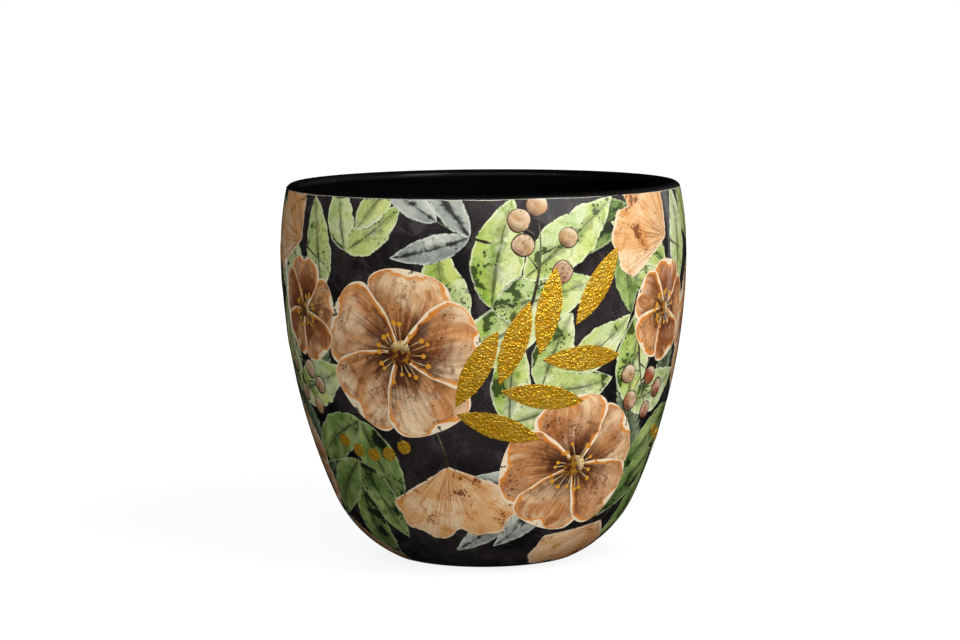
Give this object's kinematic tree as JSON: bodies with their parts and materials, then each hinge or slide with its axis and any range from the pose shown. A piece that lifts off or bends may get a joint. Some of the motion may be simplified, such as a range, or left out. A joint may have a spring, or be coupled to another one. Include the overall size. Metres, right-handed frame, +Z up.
{
  "type": "cachepot",
  "caption": "Round-bellied ceramic cachepot with a narrow rounded lip and foot ring, glossy black inside, botanical print with gold foil outside, to hold a potted plant.",
  "frame": {"origin": "centre of the plane that the pot stands on, under its felt pads", "axes": "+Z up along the pot's axis, -Y towards the viewer of the picture, +X to the viewer's right"},
  "size_m": [0.2001, 0.2, 0.1848],
  "materials": {
    "fired_clay": "matte",
    "black_lining": "gloss",
    "printed_film": "gloss",
    "gold_foil": "polished",
    "pad_felt": "matte"
  },
  "bodies": {
    "root": {"ceramic_body": "fired_clay", "inner_lining": "black_lining", "printed_wrap": "printed_film", "gold_leaf_patches": "gold_foil", "gold_dot_patches": "gold_foil", "felt_pads": "pad_felt"}
  },
  "joints": []
}
